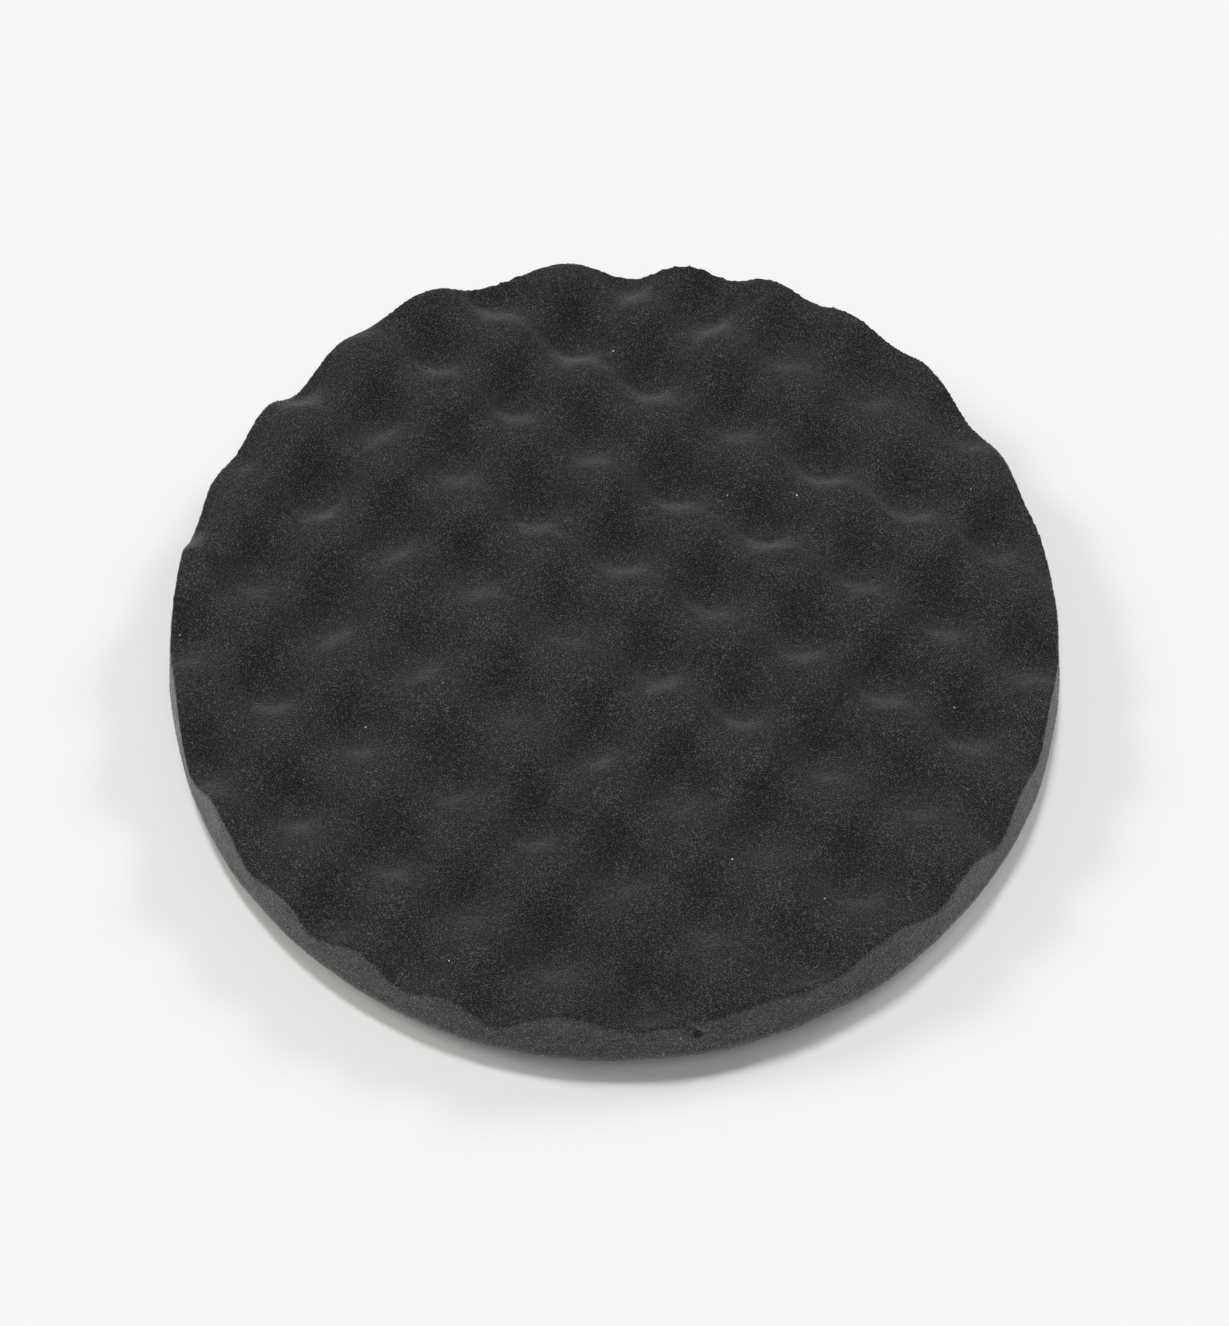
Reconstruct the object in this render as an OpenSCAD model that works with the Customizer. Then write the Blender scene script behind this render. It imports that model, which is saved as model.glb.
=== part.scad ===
// Foam polishing pad with an egg-crate working face and a loop-fastener back.
// It lies on its loops at z = 0, with the working face up and the spin axis on Z.

/* [Foam disc] */
// Diameter at the widest line of the foam, in mm
pad_d = 203; // [190:1:215]
// Height of the widest line above the loop face, in mm
rim_z = 10.5; // [9:0.5:16]
// Diameter of the flat back of the foam, in mm
foam_back_d = 187; // [180:1:188]
// Draw-in of the side wall for each mm of its height
wall_flare = 0.13; // [0.05:0.01:0.5]

/* [Working face] */
// Height halfway between peaks and pits above the widest line, in mm
face_rise = 11.6; // [8:0.1:16]
// Depth from a peak to a pit, in mm
waffle_depth = 10; // [4:0.1:12]
// Narrowness of the pits: 1 gives pits like the peaks, more gives narrower pits
pit_sharpness = 1.3; // [1:0.1:2]
// Distance from one pit to the next along the first row, in mm
first_pitch = 22.6; // [18:0.1:30]
// Distance from one pit to the next along the second row, in mm
second_pitch = 23.2; // [18:0.1:30]
// Direction of the first row of pits, in degrees
row_turn = -30.6; // [-45:0.1:45]
// Angle between the two rows of pits, in degrees
row_spread = 94; // [80:0.1:100]
// Place of one pit near the middle, left to right, in mm
pit_x = -11; // [-12:0.1:12]
// Place of one pit near the middle, front to back, in mm
pit_y = 0.7; // [-12:0.1:12]

/* [Loop-fastener back] */
// Diameter of the loop cloth, in mm
backing_d = 178; // [150:1:180]
// Height of the standing loops, in mm
pile_h = 1.7; // [1:0.1:2.5]
// Thickness of the knitted ground cloth, in mm
cloth_h = 0.5; // [0.3:0.1:1]
// Thickness of the adhesive film, in mm
film_h = 0.3; // [0.1:0.1:0.6]
// Inset of the adhesive film from the edge of the cloth, in mm
film_inset = 1; // [0:0.5:3]

/* [Mesh] */
// Rings of facets across the working face
face_rings = 30; // [12:1:34]
// Steps round the rolled-under lower edge
under_steps = 4; // [2:1:6]

/* [Hidden] */

pad_r = pad_d / 2;
foam_back_r = foam_back_d / 2;
cloth_z = pile_h;
film_z = cloth_z + cloth_h;
foam_z = film_z + film_h;
face_z = rim_z + face_rise;

sectors = 6;                       // the face's rings grow by six facets each
rim_points = sectors * face_rings; // points round the outermost ring
edge_passes = 6;                   // passes that settle where the face meets the wall
disc_sides = 180;

foam_grey = [0.20, 0.20, 0.205];
film_tan = [0.78, 0.72, 0.60];
cloth_grey = [0.52, 0.52, 0.53];
loop_grey = [0.62, 0.62, 0.63];

// Height of the egg-crate face: a pit at each crossing of the two rows, a peak between four pits.
function waffle_z(x, y) =
    let (
        ax = first_pitch * cos(row_turn),
        ay = first_pitch * sin(row_turn),
        bx = second_pitch * cos(row_turn - row_spread),
        by = second_pitch * sin(row_turn - row_spread),
        cell = ax * by - bx * ay,
        dx = x - pit_x,
        dy = y - pit_y,
        along_a = (by * dx - bx * dy) / cell,
        along_b = (ax * dy - ay * dx) / cell,
        pit_share = max(0, (2 + cos(360 * along_a) + cos(360 * along_b)) / 4)
    )
    face_z + waffle_depth * (0.5 - pow(pit_share, pit_sharpness));

// Radius at which the face runs into the flared wall, in one direction.
function edge_r(angle, r = pad_r, passes = edge_passes) =
    passes == 0 ? r
    : edge_r(angle, pad_r - wall_flare * (waffle_z(r * cos(angle), r * sin(angle)) - rim_z), passes - 1);

function on_face(r, angle) = [r * cos(angle), r * sin(angle), waffle_z(r * cos(angle), r * sin(angle))];

// Outline of the rolled-under edge, from the widest line down to the flat back.
function under_r(step) = foam_back_r + (pad_r - foam_back_r) * cos(90 * step / under_steps);
function under_z(step) = rim_z - (rim_z - foam_z) * sin(90 * step / under_steps);

// Numbering of the points: the middle, then ring after ring, then the wall's rings.
function ring_start(k) = k == 0 ? 0 : 1 + sectors / 2 * k * (k - 1);
function ring_point(k, i) = k == 0 ? 0 : ring_start(k) + i % (sectors * k);
function wall_point(step, i) = ring_start(face_rings + 1) + step * rim_points + i % rim_points;

face_points = [
    for (k = [0 : face_rings])
        for (i = [0 : max(sectors * k, 1) - 1])
            let (angle = k == 0 ? 0 : 360 * i / (sectors * k))
                on_face(edge_r(angle) * k / face_rings, angle)
];

wall_points = [
    for (step = [0 : under_steps])
        for (i = [0 : rim_points - 1])
            let (angle = 360 * i / rim_points)
                [under_r(step) * cos(angle), under_r(step) * sin(angle), under_z(step)]
];

face_facets = [
    for (k = [0 : face_rings - 1])
        for (s = [0 : sectors - 1])
            each [
                for (j = [0 : k])
                    [
                        ring_point(k, s * k + j),
                        ring_point(k + 1, s * (k + 1) + j + 1),
                        ring_point(k + 1, s * (k + 1) + j)
                    ],
                if (k > 0)
                    for (j = [0 : k - 1])
                        [
                            ring_point(k, s * k + j),
                            ring_point(k, s * k + j + 1),
                            ring_point(k + 1, s * (k + 1) + j + 1)
                        ]
            ]
];

wall_facets = [
    for (i = [0 : rim_points - 1])
        each [
            [ring_point(face_rings, i), ring_point(face_rings, i + 1), wall_point(0, i + 1)],
            [ring_point(face_rings, i), wall_point(0, i + 1), wall_point(0, i)],
            for (step = [0 : under_steps - 1])
                each [
                    [wall_point(step, i), wall_point(step, i + 1), wall_point(step + 1, i + 1)],
                    [wall_point(step, i), wall_point(step + 1, i + 1), wall_point(step + 1, i)]
                ]
        ]
];

back_facet = [for (i = [0 : rim_points - 1]) wall_point(under_steps, i)];

// Foam disc: egg-crate face, flared wall, rolled-under edge and flat back.
module foam_pad() {
    color(foam_grey)
        polyhedron(
            points = concat(face_points, wall_points),
            faces = concat(face_facets, wall_facets, [back_facet]),
            convexity = 6
        );
}

// Flat round layer of the back.
module back_layer(z, h, d) {
    translate([0, 0, z])
        cylinder(h = h, d = d, $fn = disc_sides);
}

module adhesive_film() {
    color(film_tan)
        back_layer(film_z, film_h, backing_d - 2 * film_inset);
}

module backing_cloth() {
    color(cloth_grey)
        back_layer(cloth_z, cloth_h, backing_d);
}

// The space that the standing loops fill.
module loop_pile() {
    color(loop_grey)
        back_layer(0, pile_h, backing_d);
}

foam_pad();
adhesive_film();
backing_cloth();
loop_pile();
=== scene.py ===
import math
import random

import bpy
import numpy as np
from mathutils import Matrix, Vector


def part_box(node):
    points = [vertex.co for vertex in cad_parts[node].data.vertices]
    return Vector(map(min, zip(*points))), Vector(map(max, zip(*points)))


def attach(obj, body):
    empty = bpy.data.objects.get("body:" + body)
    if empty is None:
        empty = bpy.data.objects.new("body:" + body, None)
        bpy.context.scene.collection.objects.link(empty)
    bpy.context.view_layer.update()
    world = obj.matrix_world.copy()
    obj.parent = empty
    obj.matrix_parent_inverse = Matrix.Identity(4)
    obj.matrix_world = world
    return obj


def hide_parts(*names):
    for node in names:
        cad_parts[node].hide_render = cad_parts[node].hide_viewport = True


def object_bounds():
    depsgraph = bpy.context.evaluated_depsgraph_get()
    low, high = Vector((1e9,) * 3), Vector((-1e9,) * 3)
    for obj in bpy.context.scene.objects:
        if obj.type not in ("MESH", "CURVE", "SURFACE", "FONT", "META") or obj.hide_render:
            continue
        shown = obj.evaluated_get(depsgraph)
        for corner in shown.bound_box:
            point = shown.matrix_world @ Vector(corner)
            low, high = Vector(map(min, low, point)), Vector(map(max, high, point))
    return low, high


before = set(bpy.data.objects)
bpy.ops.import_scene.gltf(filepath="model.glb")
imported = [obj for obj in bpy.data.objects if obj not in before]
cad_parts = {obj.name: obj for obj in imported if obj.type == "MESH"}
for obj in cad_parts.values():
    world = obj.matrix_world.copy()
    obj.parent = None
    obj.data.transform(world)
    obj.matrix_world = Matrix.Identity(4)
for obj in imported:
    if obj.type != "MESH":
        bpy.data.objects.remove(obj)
cadLow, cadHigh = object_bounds()
scene = bpy.context.scene
padRadius = (cadHigh.x - cadLow.x) / 2
mm = 0.001

print("camera")

cameraView = {
    "elevation": 60,         # degrees above the floor
    "distance": 803 * mm,
    "lens": 95.1,            # focal length in mm
    "sensorWidth": 36,       # mm
    "aimForward": 1.5 * mm,  # the aim lies this far in front of the pad's axis
    "aimHeight": 6.5 * mm,
}


def addCamera():
    aim = Vector((0, -cameraView["aimForward"], cameraView["aimHeight"]))
    tilt = math.radians(cameraView["elevation"])
    back = Vector((0, -math.cos(tilt), math.sin(tilt)))
    bpy.ops.object.camera_add(location=aim + back * cameraView["distance"])
    camera = bpy.context.object
    camera.rotation_mode = "QUATERNION"
    camera.rotation_quaternion = back.to_track_quat("Z", "Y")
    camera.data.lens = cameraView["lens"]
    camera.data.sensor_width = cameraView["sensorWidth"]
    camera.data.clip_start = 0.01
    scene.camera = camera


addCamera()


def startAlone():
    if bpy.context.object and bpy.context.object.mode != "OBJECT":
        bpy.ops.object.mode_set(mode="OBJECT")
    bpy.ops.object.select_all(action="DESELECT")


def pick(piece):
    startAlone()
    piece.select_set(True)
    bpy.context.view_layer.objects.active = piece


def modify(piece, kind, **settings):
    pick(piece)
    modifier = piece.modifiers.new(kind.lower(), kind)
    for name, value in settings.items():
        setattr(modifier, name, value)
    bpy.ops.object.modifier_apply(modifier=modifier.name)


def settle(piece):
    pick(piece)
    bpy.ops.object.transform_apply(location=True, rotation=True, scale=True)


def points(piece):
    flat = np.empty(len(piece.data.vertices) * 3)
    piece.data.vertices.foreach_get("co", flat)
    return flat.reshape(-1, 3)


def movePoints(piece, places):
    piece.data.vertices.foreach_set("co", np.ascontiguousarray(places).ravel())
    piece.data.update()


class Signal:  # a value that varies over a surface
    def __init__(self, finish, socket):
        self.finish = finish
        self.socket = socket

    def maths(self, operation, first, second):
        return self.finish.add("ShaderNodeMath", {"operation": operation}, {0: first, 1: second})

    def __add__(self, other):
        return self.maths("ADD", self, other)

    def __mul__(self, other):
        return self.maths("MULTIPLY", self, other)

    def __gt__(self, other):
        return self.maths("GREATER_THAN", self, other)

    __radd__ = __add__
    __rmul__ = __mul__


class Finish:
    def __init__(self, name, **uniform):
        self.material = bpy.data.materials.new(name)
        self.material.use_nodes = True
        self.tree = self.material.node_tree
        self.shader = self.tree.nodes["Principled BSDF"]
        for socket, value in uniform.items():
            self.shader.inputs[socket.replace("_", " ")].default_value = value

    def add(self, kind, settings=None, inputs=None, output=0):
        node = self.tree.nodes.new(kind)
        for name, value in (settings or {}).items():
            setattr(node, name, value)
        for name, value in (inputs or {}).items():
            self.feed(node.inputs[name], value)
        return Signal(self, node.outputs[output])

    def feed(self, socket, value):
        if isinstance(value, Signal):
            self.tree.links.new(value.socket, socket)
        else:
            socket.default_value = value

    def surface(self, **varying):
        for name, value in varying.items():
            self.feed(self.shader.inputs[name.replace("_", " ")], value)

    def place(self):
        return self.add("ShaderNodeTexCoord", output="Object")

    def noise(self, place, size, detail=2, roughness=0.5):
        inputs = {"Vector": place, "Scale": 1 / size, "Detail": detail, "Roughness": roughness}
        return self.add("ShaderNodeTexNoise", None, inputs)

    def cells(self, place, size, settings=None, output="Distance"):
        return self.add("ShaderNodeTexVoronoi", settings, {"Vector": place, "Scale": 1 / size}, output)

    def cellShade(self, place, size):
        shade = self.cells(place, size, None, "Color")
        return self.add("ShaderNodeSeparateColor", None, {"Color": shade}, "Red")

    def wave(self, place, size, direction, distortion):
        settings = {"wave_type": "BANDS", "bands_direction": direction}
        scale = 0.314 / size  # at scale 1 the bands lie 0.314 apart
        inputs = {"Vector": place, "Scale": scale, "Distortion": distortion, "Detail Scale": 2}
        return self.add("ShaderNodeTexWave", settings, inputs, "Fac")

    def between(self, value, low, high, newLow=0, newHigh=1):
        inputs = {"Value": value, "From Min": low, "From Max": high, "To Min": newLow, "To Max": newHigh}
        return self.add("ShaderNodeMapRange", {"interpolation_type": "SMOOTHSTEP"}, inputs)

    def blendColours(self, share, first, second):
        inputs = {"Factor": share, "A": first, "B": second}
        return self.add("ShaderNodeMix", {"data_type": "RGBA"}, inputs, "Result")

    def bump(self, height, depth, strength=1):
        inputs = {"Height": height, "Distance": depth, "Strength": strength}
        return self.add("ShaderNodeBump", None, inputs, "Normal")


print("foam disc")

padShape = {
    "rimHeight": 10.5 * mm,   # widest line above the loops' tips
    "backRadius": 93.5 * mm,  # flat back of the foam
    "wallFlare": 0.13,        # draw-in of the wall for each unit of height
    "faceRise": 11.6 * mm,    # middle between peaks and pits, above the widest line
    "waffleDepth": 10 * mm,   # from a peak to a pit
    "pitSharpness": 1.3,      # 1 gives peaks and pits alike, more gives broad peaks and narrow pits
    "pitches": (22.6 * mm, 23.2 * mm),  # from one pit to the next along each row
    "rowTurns": (-30.6, -124.6),        # directions of the two rows of pits, degrees
    "pit": (-11 * mm, 0.7 * mm),
}

foamDetail = {
    "sheetCells": 18,          # peaks and pits along each side of the egg-crate sheet
    "sheetLevels": 4,          # smoothing of the sheet
    "pitWander": 0.7 * mm,     # how far a pit or peak strays sideways
    "heightWander": 2 * mm,    # how far its control point strays up or down
    "sheetStretch": 1.5 * mm,  # how far the rows bend where the sheet was pulled
    "bendAcross": (0.4, 0.9),  # how fast that bend turns, radians for each column and row
    "bendAlong": (0.7, -0.5),
    "sheetHeight": 60 * mm,    # foam that the sheet cuts away above the face
    "voxel": 0.72 * mm,
    "edgeSoftening": 4,        # smoothing passes that round the cut edges
    "lumpSize": 14 * mm,
    "lumpDepth": 0.7 * mm,
    "fuzzSize": 0.55 * mm,
    "fuzzDepth": 0.4 * mm,
    "nickTop": (14 * mm, 24 * mm),     # a small cut in the front wall: left to right, height
    "nickBottom": (18.5 * mm, 16.5 * mm),
    "nickWidth": 2.2 * mm,
    "nickDepth": 1.15 * mm,
    "wallTilt": (0.5, 0.75),  # how upright the skin is where the painted lighter wall tone starts and where it is full
    "wallBand": 3 * mm,       # the painted lighter wall tone stays this near to the wall
    "underSteps": 8,
    "sides": 256,
}

foamLook = {
    "cell": 0.5 * mm,
    "strut": 0.2,                      # share of a cell that its walls take
    "glint": 0.4 * mm,                 # size of the patches where the walls catch light
    "lintCell": 0.3 * mm,
    "lintLimit": 0.99996,              # nearer 1 gives fewer specks of lint
    "glintRange": (0.42, 0.66),        # noise levels where a wall is dark and where it is bright
    "strutShade": 0.08,                # tone of a cell wall where no light catches it
    "glintShade": 0.74,                # what a glint adds to it
    "gapShade": 0.06,                  # tone between the cell walls, lifting the painted shade of the pores
    "cloudShade": 0.12,
    "cloudSize": 9 * mm,
    "pore": 0.2 * mm,                  # depth of the small bumps
    "poreStrength": 0.35,
    "sheen": 0.45,                     # cut cell tips that catch light where the foam is seen edge on
    "sheenSpread": 0.24,
    # near black for the open pores between the struts: painted shade in the foam's hollows
    "paintedPoreShade": (0.001, 0.001, 0.001, 1),
    "strutFace": (0.122, 0.122, 0.124, 1),
    # the same foam painted lighter on the upright wall: painted light, not a different foam
    "paintedLitWallStrut": (0.30, 0.283, 0.283, 1),
    "lint": (0.75, 0.75, 0.74, 1),
}


def addEggCrateCutter():
    rows = [Vector((math.cos(math.radians(turn)), math.sin(math.radians(turn)))) * pitch
            for turn, pitch in zip(padShape["rowTurns"], padShape["pitches"])]
    across, along = (rows[0] - rows[1]) / 2, (rows[0] + rows[1]) / 2  # from a pit to the peaks beside it
    cells = foamDetail["sheetCells"]
    startAlone()
    bpy.ops.mesh.primitive_grid_add(x_subdivisions=cells, y_subdivisions=cells, size=cells)
    sheet = bpy.context.object
    settle(sheet)
    reach = padShape["waffleDepth"] / 2
    lift = reach * 9  # the smoothing keeps a ninth of the control height
    chance = random.Random(11)
    pull = foamDetail["sheetStretch"]
    acrossTurns, alongTurns = foamDetail["bendAcross"], foamDetail["bendAlong"]
    for vertex in sheet.data.vertices:
        column, row = round(vertex.co.x), round(vertex.co.y)
        spot = across * column + along * row
        stray = [chance.gauss(0, foamDetail["pitWander"]) for axis in "xy"]
        stray[0] += pull * math.sin(acrossTurns[0] * column + acrossTurns[1] * row)
        stray[1] += pull * math.sin(alongTurns[0] * column + alongTurns[1] * row + 1)
        rise = lift if (column + row) % 2 else -lift
        rise += chance.gauss(0, foamDetail["heightWander"])
        vertex.co = (spot.x + stray[0], spot.y + stray[1], rise)
    levels = foamDetail["sheetLevels"]
    modify(sheet, "SUBSURF", levels=levels, render_levels=levels)
    places = points(sheet)
    depth = np.maximum(reach - places[:, 2], 0) / (2 * reach)
    places[:, 2] = reach - 2 * reach * depth ** padShape["pitSharpness"]
    movePoints(sheet, places)
    faceHeight = padShape["rimHeight"] + padShape["faceRise"]
    sheet.location = (*padShape["pit"], faceHeight)
    settle(sheet)
    bpy.ops.object.mode_set(mode="EDIT")
    bpy.ops.mesh.select_all(action="SELECT")
    upward = (0, 0, foamDetail["sheetHeight"])
    bpy.ops.mesh.extrude_region_move(TRANSFORM_OT_translate={"value": upward})
    bpy.ops.mesh.select_all(action="SELECT")
    bpy.ops.mesh.normals_make_consistent(inside=False)
    bpy.ops.object.mode_set(mode="OBJECT")
    return sheet


def addTurnedBlank(backHeight):
    rim, back = padShape["rimHeight"], padShape["backRadius"]
    outline = []
    for step in range(1, foamDetail["underSteps"] + 1):
        turn = math.radians(90 * step / foamDetail["underSteps"])
        outline.append((
            back + (padRadius - back) * math.sin(turn),
            rim - (rim - backHeight) * math.cos(turn),
        ))
    top = cadHigh.z + 10 * mm
    outline.append((padRadius - padShape["wallFlare"] * (top - rim), top))
    startAlone()
    bpy.ops.mesh.primitive_circle_add(
        vertices=foamDetail["sides"], radius=back, fill_type="NGON", location=(0, 0, backHeight)
    )
    blank = bpy.context.object
    settle(blank)
    radius, height = back, backHeight
    bpy.ops.object.mode_set(mode="EDIT")
    bpy.ops.mesh.select_all(action="SELECT")
    for nextRadius, nextHeight in outline:
        bpy.ops.mesh.extrude_region_move(TRANSFORM_OT_translate={"value": (0, 0, nextHeight - height)})
        grow = nextRadius / radius
        bpy.ops.transform.resize(value=(grow, grow, 1), center_override=(0, 0, nextHeight))
        radius, height = nextRadius, nextHeight
    bpy.ops.mesh.select_all(action="SELECT")
    bpy.ops.mesh.normals_make_consistent(inside=False)
    bpy.ops.object.mode_set(mode="OBJECT")
    return blank


def addNickCutter():
    top, bottom = Vector(foamDetail["nickTop"]), Vector(foamDetail["nickBottom"])
    middle = (top + bottom) / 2
    wall = padRadius - padShape["wallFlare"] * (middle.y - padShape["rimHeight"])
    front = -math.sqrt(wall ** 2 - middle.x ** 2)
    startAlone()
    bpy.ops.mesh.primitive_cube_add(size=1, location=(middle.x, front, middle.y))
    nick = bpy.context.object
    nick.scale = (foamDetail["nickWidth"], 2 * foamDetail["nickDepth"], (top - bottom).length)
    nick.rotation_euler.y = math.atan2(top.x - bottom.x, top.y - bottom.y)
    settle(nick)
    return nick


def addTexture(name, size, depth):
    texture = bpy.data.textures.new(name, "CLOUDS")
    texture.noise_scale = size
    texture.noise_depth = depth
    return texture


# marks where the upright wall gets the foam's tone painted lighter: painted light
def markPaintedLitWall(piece):
    places = points(piece)
    radius = np.hypot(places[:, 0], places[:, 1])
    above = np.maximum(places[:, 2] - padShape["rimHeight"], 0)
    wall = padRadius - padShape["wallFlare"] * above
    normals = np.empty(len(places) * 3)
    piece.data.vertices.foreach_get("normal", normals)
    upright = 1 - np.clip(normals[2::3], 0, 1)  # 0 where the skin faces up, 1 on a wall
    low, high = foamDetail["wallTilt"]
    share = np.clip((upright - low) / (high - low), 0, 1) * (radius > wall - foamDetail["wallBand"])
    mark = piece.data.attributes.new("paintedLitWall", "FLOAT", "POINT")
    mark.data.foreach_set("value", share)


def makeFoamDisc():
    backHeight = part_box("foam_pad")[0].z
    foam = addTurnedBlank(backHeight)
    cutter = addEggCrateCutter()
    modify(foam, "BOOLEAN", operation="DIFFERENCE", object=cutter, solver="MANIFOLD")
    bpy.data.objects.remove(cutter)
    nick = addNickCutter()
    modify(foam, "BOOLEAN", operation="DIFFERENCE", object=nick, solver="MANIFOLD")
    bpy.data.objects.remove(nick)
    modify(foam, "REMESH", mode="VOXEL", voxel_size=foamDetail["voxel"], use_smooth_shade=True)
    modify(foam, "SMOOTH", factor=0.5, iterations=foamDetail["edgeSoftening"])
    lumps = addTexture("foamLumps", foamDetail["lumpSize"], 1)
    modify(foam, "DISPLACE", texture=lumps, strength=foamDetail["lumpDepth"], texture_coords="LOCAL")
    markPaintedLitWall(foam)
    fuzz = addTexture("foamFuzz", foamDetail["fuzzSize"], 1)
    modify(foam, "DISPLACE", texture=fuzz, strength=foamDetail["fuzzDepth"], texture_coords="LOCAL")
    places = points(foam)
    places[:, 2] = np.maximum(places[:, 2], backHeight)  # the glued back stays flat
    movePoints(foam, places)
    foam.name = foam.data.name = "foam_disc"
    pick(foam)
    bpy.ops.object.shade_smooth()
    return foam


def foamFinish():
    look = foamLook
    finish = Finish(
        "blackFoam", Roughness=0.95, Specular_IOR_Level=0.15,
        Sheen_Weight=look["sheen"], Sheen_Roughness=look["sheenSpread"],
    )
    place = finish.place()
    gap = finish.cells(place, look["cell"], {"feature": "DISTANCE_TO_EDGE"})
    strut = finish.between(gap, 0, look["strut"], 1, 0)
    glint = finish.between(finish.noise(place, look["glint"], 2, 0.6), *look["glintRange"])
    speck = finish.cellShade(place, look["lintCell"]) > look["lintLimit"]
    cloud = finish.noise(place, look["cloudSize"], 2)
    # share of the painted light on the wall
    wall = finish.add("ShaderNodeAttribute", {"attribute_name": "paintedLitWall"}, None, "Fac")
    lit = look["strutShade"] + look["glintShade"] * glint
    tone = strut * lit + look["cloudShade"] * cloud + look["gapShade"]
    # the strut pattern is the foam's grain; the dark between the struts is painted shade in the pores
    face = finish.blendColours(tone, look["paintedPoreShade"], look["strutFace"])
    # the wall's copy of the foam tone, painted lighter: painted light
    cut = finish.blendColours(tone, look["paintedPoreShade"], look["paintedLitWallStrut"])
    foamColour = finish.blendColours(wall, face, cut)
    colour = finish.blendColours(speck, foamColour, look["lint"])
    pores = finish.bump(strut, look["pore"], look["poreStrength"])
    finish.surface(Base_Color=colour, Normal=pores)
    return finish.material


foam = makeFoamDisc()
foam.data.materials.clear()
foam.data.materials.append(foamFinish())
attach(foam, "root")
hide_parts("foam_pad")
print("foam disc has", len(foam.data.polygons), "faces")


print("loop-fastener back")

loopBack = {
    "radius": 89 * mm,
    "rowGap": 2.1 * mm,        # between the knitted rows of loops
    "loopGap": 2 * mm,         # between loops along a row
    "loopWidth": 2 * mm,
    "yarn": 0.36 * mm,
    "yawSpread": 60,           # degrees that a loop turns out of its row
    "leanSpread": 38,          # degrees that a loop leans
    "edgeMargin": 1.5 * mm,    # bare cloth outside the last loops
    "jitter": 0.2,             # share of a gap that a loop strays
    "sizes": (0.86, 0.99),     # smallest and largest loop
    "rest": 0.02 * mm,         # the loops' tips end this far above the lowest plane
    "edgeFray": 0.12 * mm,
    "wale": 1 * mm,            # width of a stitch in the ground cloth
    "course": 0.7 * mm,        # height of a stitch
}

clothLook = {  # dark and light end of each colour
    "yarn": ((0.22, 0.22, 0.225, 1), (0.50, 0.50, 0.51, 1)),
    "knit": ((0.045, 0.045, 0.046, 1), (0.17, 0.17, 0.173, 1)),
    "glue": ((0.30, 0.24, 0.14, 1), (0.52, 0.45, 0.30, 1)),
}


def makeGroundCloth():
    low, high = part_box("backing_cloth")
    startAlone()
    bpy.ops.mesh.primitive_circle_add(
        vertices=360, radius=loopBack["radius"], fill_type="NGON", location=(0, 0, low.z)
    )
    cloth = bpy.context.object
    settle(cloth)
    bpy.ops.object.mode_set(mode="EDIT")
    bpy.ops.mesh.select_all(action="SELECT")
    bpy.ops.mesh.inset(thickness=1.2 * mm)
    bpy.ops.mesh.select_all(action="SELECT")
    bpy.ops.mesh.extrude_region_move(TRANSFORM_OT_translate={"value": (0, 0, high.z - low.z)})
    bpy.ops.mesh.select_all(action="SELECT")
    bpy.ops.mesh.normals_make_consistent(inside=False)
    bpy.ops.object.mode_set(mode="OBJECT")
    chance = random.Random(5)
    for vertex in cloth.data.vertices:
        if math.hypot(vertex.co.x, vertex.co.y) > loopBack["radius"] - 0.1 * mm:
            fray = 1 + chance.uniform(-1, 0) * loopBack["edgeFray"] / loopBack["radius"]
            vertex.co.x *= fray
            vertex.co.y *= fray
    cloth.name = cloth.data.name = "ground_cloth"
    return cloth


def makeOneLoop(height):
    startAlone()
    bpy.ops.mesh.primitive_torus_add(
        major_segments=8, minor_segments=3, major_radius=loopBack["loopWidth"] / 2,
        minor_radius=loopBack["yarn"] / 2, rotation=(math.pi / 2, 0, 0)
    )
    loop = bpy.context.object
    settle(loop)
    bpy.ops.object.mode_set(mode="EDIT")
    bpy.ops.mesh.select_all(action="SELECT")
    bpy.ops.mesh.bisect(plane_co=(0, 0, 0.02 * mm), plane_no=(0, 0, 1), clear_outer=True, use_fill=True)
    bpy.ops.mesh.select_all(action="SELECT")
    stretch = height / (loopBack["loopWidth"] / 2 + loopBack["yarn"] / 2)
    bpy.ops.transform.resize(value=(1, 1, stretch), center_override=(0, 0, 0))
    bpy.ops.object.mode_set(mode="OBJECT")
    return loop


def makeLoopPile():
    low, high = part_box("loop_pile")
    loop = makeOneLoop(high.z - low.z)
    shape = points(loop)
    faces = [list(face.vertices) for face in loop.data.polygons]
    bpy.data.objects.remove(loop)
    chance = random.Random(23)
    reach = loopBack["radius"] - loopBack["edgeMargin"]
    jitter = loopBack["jitter"]
    rows = int(reach / loopBack["rowGap"])
    columns = int(reach / loopBack["loopGap"])
    places, allFaces = [], []
    for row in range(-rows, rows + 1):
        for column in range(-columns, columns + 1):
            x = (column + 0.5 * (row % 2) + chance.uniform(-jitter, jitter)) * loopBack["loopGap"]
            y = (row + chance.uniform(-jitter, jitter)) * loopBack["rowGap"]
            yaw = math.radians(chance.uniform(-1, 1) * loopBack["yawSpread"])
            lean = math.radians(chance.uniform(-1, 1) * loopBack["leanSpread"])
            size = chance.uniform(*loopBack["sizes"])
            if math.hypot(x, y) > reach:
                continue
            turn = Matrix.Rotation(yaw, 3, "Z") @ Matrix.Rotation(lean, 3, "X")
            start = len(places) * len(shape)
            places.append(shape @ np.array(turn).T * size + (x, y, high.z))
            allFaces += [[start + corner for corner in face] for face in faces]
    places = np.concatenate(places)
    places[:, 2] = np.maximum(places[:, 2], low.z + loopBack["rest"])
    mesh = bpy.data.meshes.new("loops")
    mesh.from_pydata(places.tolist(), [], allFaces)
    pile = bpy.data.objects.new("loops", mesh)
    scene.collection.objects.link(pile)
    pick(pile)
    bpy.ops.object.shade_smooth()
    return pile


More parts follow.
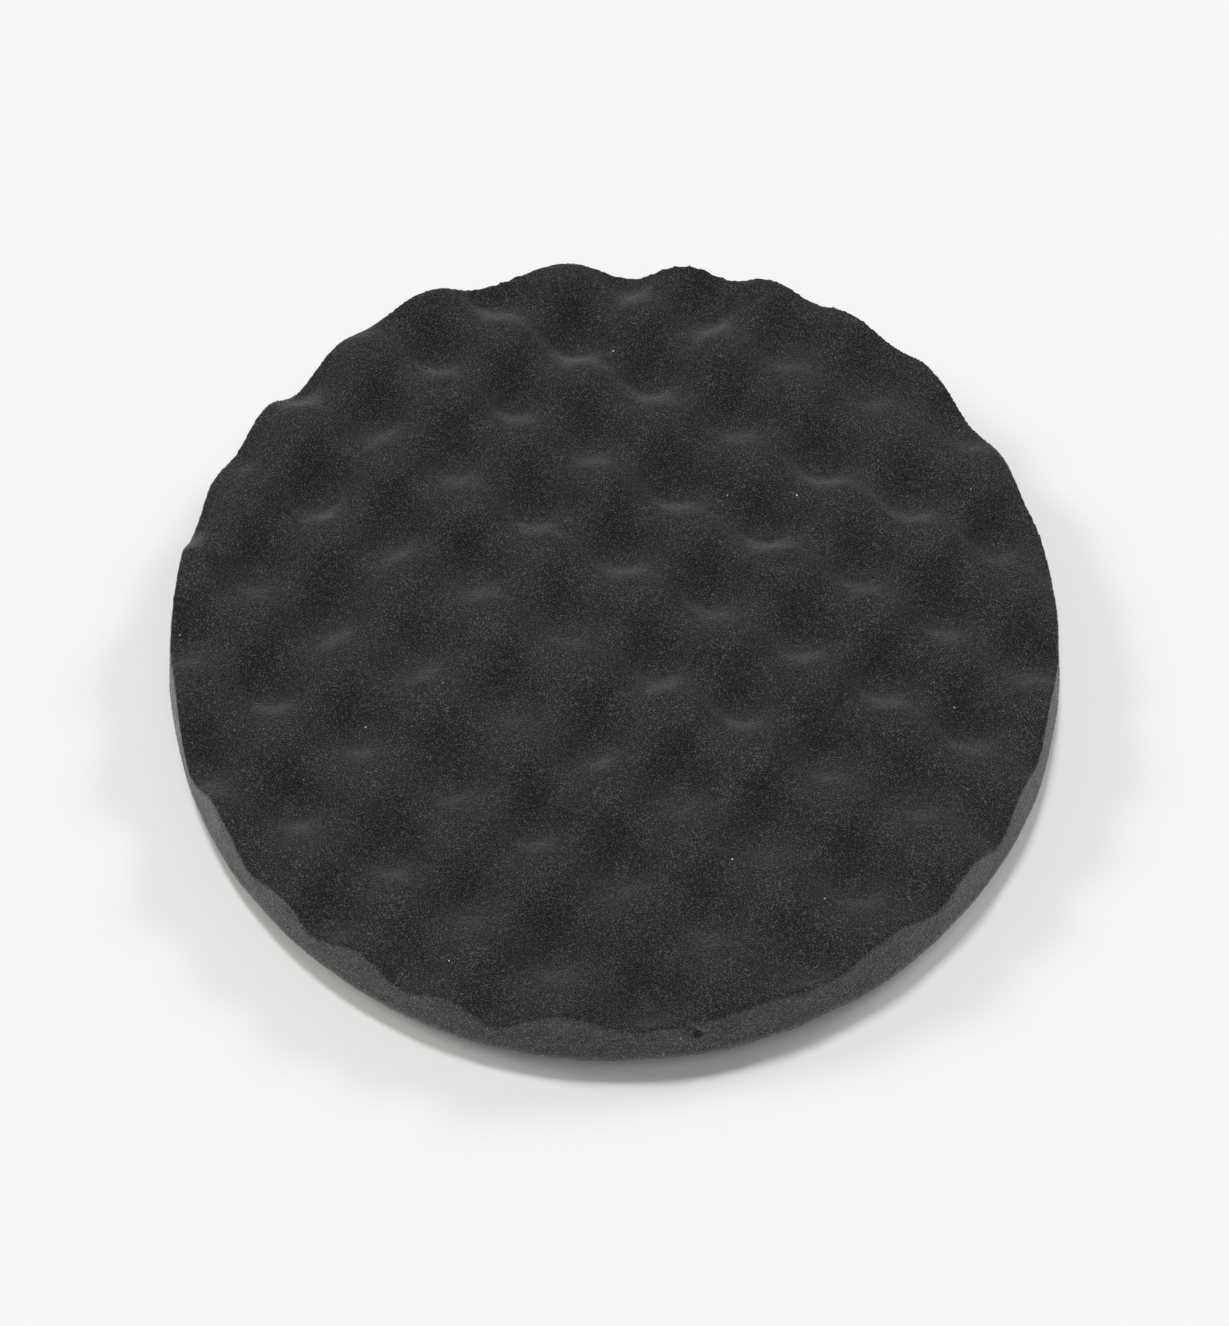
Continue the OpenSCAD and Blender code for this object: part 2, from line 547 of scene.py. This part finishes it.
def yarnFinish():
    finish = Finish("nylonLoop", Roughness=0.55, Sheen_Weight=0.4, Sheen_Roughness=0.4)
    place = finish.place()
    patch = finish.noise(place, 6 * mm, 2)
    strand = finish.noise(place, 0.5 * mm, 2)
    colour = finish.blendColours(0.5 * patch + 0.5 * strand, *clothLook["yarn"])
    finish.surface(Base_Color=colour, Normal=finish.bump(strand, 0.1 * mm, 0.4))
    return finish.material


def knitFinish():
    finish = Finish("knitCloth", Roughness=0.85, Sheen_Weight=0.2)
    place = finish.place()
    wales = finish.wave(place, loopBack["wale"], "X", 4)
    courses = finish.wave(place, loopBack["course"], "Y", 4)
    knit = wales * courses
    colour = finish.blendColours(knit, *clothLook["knit"])
    finish.surface(Base_Color=colour, Normal=finish.bump(knit, 0.15 * mm, 0.8))
    return finish.material


def glueFinish():
    finish = Finish("driedGlue", Roughness=0.4)
    place = finish.place()
    swirl = finish.noise(place, 5 * mm, 3)
    bubbles = finish.noise(place, 0.8 * mm, 2)
    colour = finish.blendColours(swirl, *clothLook["glue"])
    gloss = finish.between(bubbles, 0.3, 0.7, 0.3, 0.6)
    finish.surface(Base_Color=colour, Roughness=gloss, Normal=finish.bump(bubbles, 0.1 * mm, 0.5))
    return finish.material


cloth = makeGroundCloth()
cloth.data.materials.append(knitFinish())
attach(cloth, "root")
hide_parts("backing_cloth")

pile = makeLoopPile()
pile.data.materials.append(yarnFinish())
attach(pile, "root")
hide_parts("loop_pile")

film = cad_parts["adhesive_film"]
film.material_slots[0].material = glueFinish()
print("loop pile has", len(pile.data.polygons), "faces")


print("studio")

studio = {
    "floorSize": 30,         # m
    "paper": (0.905, 0.90, 0.90, 1),
    "skyLight": 0.205,
    "skyColour": (0.90, 0.955, 1, 1),
    "lamps": {  # toward the lamp on the floor, height in degrees, power, width in degrees, colour
        "backLamp": ((-0.64, 1), 80.5, 1.26, 7, (1, 1, 1)),
        "frontLamp": ((0.05, -1), 68, 0.5, 30, (1, 1, 1)),
        "leftLamp": ((-0.98, 0.2), 45, 0.76, 20, (1, 0.93, 0.80)),
        "rightLamp": ((0.85, 0.53), 44, 0.68, 20, (0.92, 0.965, 1)),
    },
}


def addFloor():
    startAlone()
    bpy.ops.mesh.primitive_plane_add(size=studio["floorSize"], location=(0, 0, cadLow.z))
    floor = bpy.context.object
    floor.name = "floor"
    settle(floor)
    paper = Finish("whitePaper", Base_Color=studio["paper"], Roughness=0.9, Specular_IOR_Level=0.1)
    floor.data.materials.append(paper.material)


def addLamp(name, toward, elevation, power, width, colour):
    rise = math.tan(math.radians(elevation)) * math.hypot(*toward)
    direction = Vector((*toward, rise)).normalized()
    bpy.ops.object.light_add(type="SUN", location=direction * 2)
    light = bpy.context.object
    light.name = name
    light.rotation_mode = "QUATERNION"
    light.rotation_quaternion = direction.to_track_quat("Z", "Y")
    light.data.energy = power
    light.data.color = colour
    light.data.angle = math.radians(width)


def addSky():
    world = bpy.data.worlds.new("studioAir")
    scene.world = world
    world.use_nodes = True
    air = world.node_tree.nodes["Background"]
    air.inputs["Color"].default_value = studio["skyColour"]
    air.inputs["Strength"].default_value = studio["skyLight"]


addFloor()
for name, lamp in studio["lamps"].items():
    addLamp(name, *lamp)
addSky()
scene.view_settings.view_transform = "Standard"
